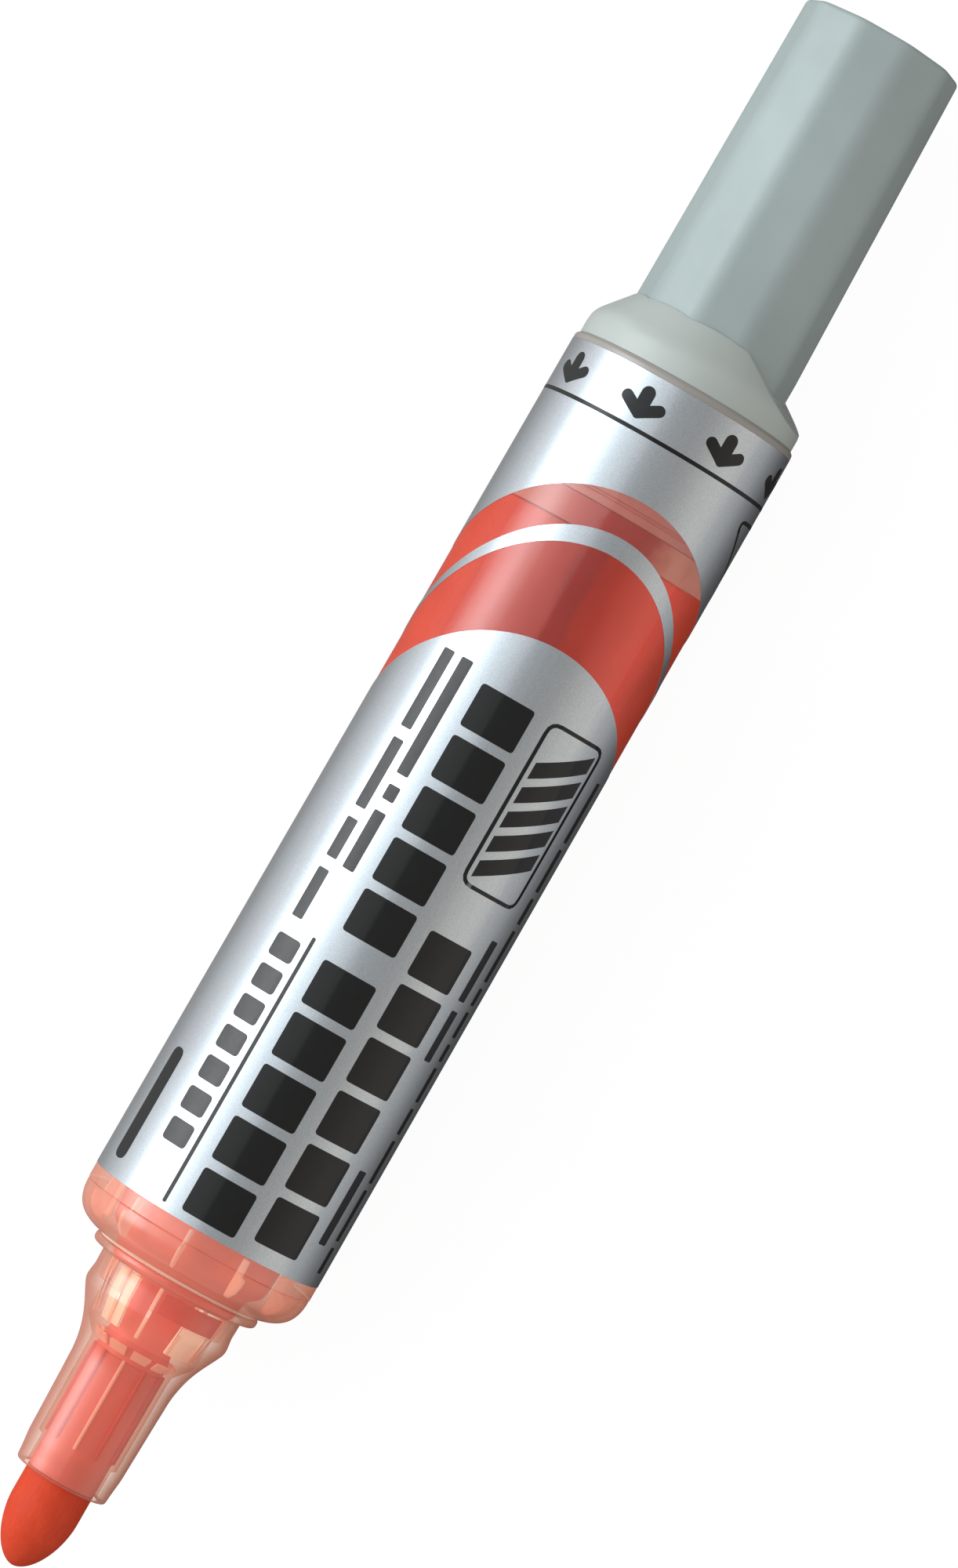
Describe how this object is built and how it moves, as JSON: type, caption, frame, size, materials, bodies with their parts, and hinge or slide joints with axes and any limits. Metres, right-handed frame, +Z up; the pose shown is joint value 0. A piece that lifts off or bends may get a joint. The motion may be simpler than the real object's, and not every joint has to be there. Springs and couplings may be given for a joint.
{
  "type": "whiteboard marker",
  "caption": "Pump-action whiteboard marker without its cap: press button, slanted collar, ink window in a silver label, clear nose and bullet nib.",
  "frame": {"origin": "on the resting surface, under the middle of the marker's length", "axes": "+X along the axis from the press button to the nib, +Z up through the printed front of the label, +Y to the right of someone who looks down at that front with the button at the top"},
  "size_m": [0.126, 0.0182, 0.0183],
  "materials": {
    "grey_plastic": "satin cool grey moulded plastic",
    "collar_plastic": "satin warm grey plastic, slightly translucent",
    "spring_steel": "drawn stainless wire and sheet",
    "natural_plastic": "natural unpigmented plastic",
    "rubber": "black seal rubber",
    "barrel_plastic": "glossy translucent natural plastic",
    "silver_label": "glossy silver printed film with a clear window",
    "red_ink": "dark red liquid ink",
    "valve_plastic": "ink-wetted translucent plastic",
    "nose_plastic": "glossy clear plastic tinted by the ink",
    "nib_fibre": "ink-soaked sintered fibre"
  },
  "bodies": {
    "tank": {"collar": "collar_plastic", "button_spring": "spring_steel", "spring_washer": "spring_steel", "rear_plug": "natural_plastic", "rear_o_ring": "rubber", "rod_seal": "rubber", "seal_retainer": "natural_plastic", "barrel": "barrel_plastic", "label": "silver_label", "ink": "red_ink", "valve_cap": "natural_plastic", "valve_seat": "natural_plastic", "valve_body": "valve_plastic", "valve_spring": "spring_steel", "feed_wick": "nib_fibre", "front_o_ring": "rubber", "nose": "nose_plastic", "nib": "nib_fibre"},
    "plunger": {"button": "grey_plastic", "push_rod": "natural_plastic", "poppet": "natural_plastic", "poppet_seal": "rubber"}
  },
  "joints": [
    {"name": "button_press", "type": "slide", "parent": "tank", "child": "plunger", "axis": [1, 0, 0], "range_m": [0, 0.0035], "stiffness_N_per_m": 400, "springref_m": -0.003, "deforming": ["button_spring", "valve_spring"]}
  ]
}
